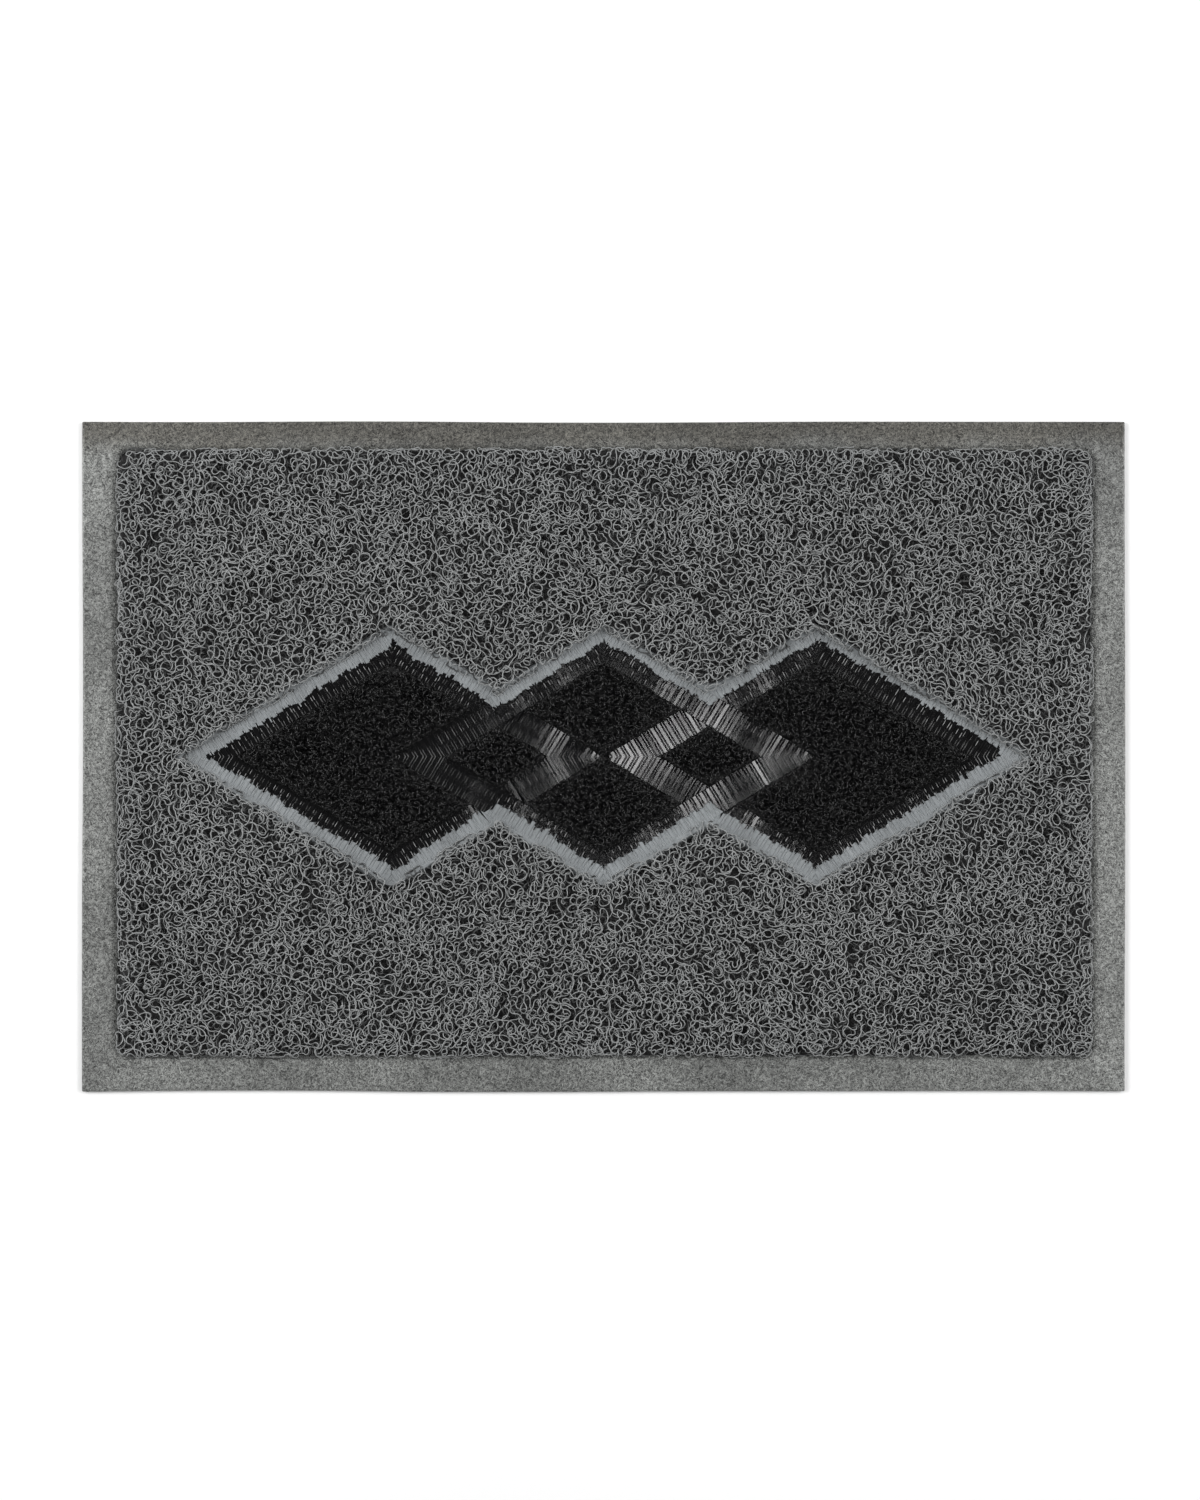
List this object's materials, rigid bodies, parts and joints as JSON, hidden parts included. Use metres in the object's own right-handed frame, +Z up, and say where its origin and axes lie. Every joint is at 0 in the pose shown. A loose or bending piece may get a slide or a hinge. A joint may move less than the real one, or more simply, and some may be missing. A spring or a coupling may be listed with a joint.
{
  "type": "door mat",
  "caption": "Rectangular looped-filament door mat with a flat pressed edge and an inlaid motif of interlocking diamonds, outlined by ribbed weld bands, on a solid backing sheet.",
  "frame": {"origin": "middle of the underside, on the ground", "axes": "+X along the length, +Y across the width to the back edge with the narrower pressed margin, +Z up out of the pile"},
  "size_m": [0.7, 0.45, 0.012],
  "materials": {
    "backing": "matt calendered vinyl sheet, fine leather-like emboss",
    "pressed_grey": "heat-pressed grey vinyl coil, satin, flattened strands",
    "coil_grey": "extruded grey vinyl filament, satin",
    "weld_grey": "grey vinyl pressed flat by a ribbed die, satin",
    "weld_black": "black vinyl pressed flat by a ribbed die, glossy on the ribs",
    "coil_black": "extruded fine black vinyl filament, semi-gloss"
  },
  "bodies": {
    "root": {"backing_sheet": "backing", "pressed_edge_front": "pressed_grey", "pressed_edge_right": "pressed_grey", "pressed_edge_back": "pressed_grey", "pressed_edge_left": "pressed_grey", "grey_coil_field": "coil_grey", "grey_weld_rim": "weld_grey", "black_weld_lattice": "weld_black", "black_pile_left": "coil_black", "black_pile_right": "coil_black", "black_pile_back": "coil_black", "black_pile_front": "coil_black", "black_pile_small_left": "coil_black", "black_pile_small_right": "coil_black"}
  },
  "joints": []
}
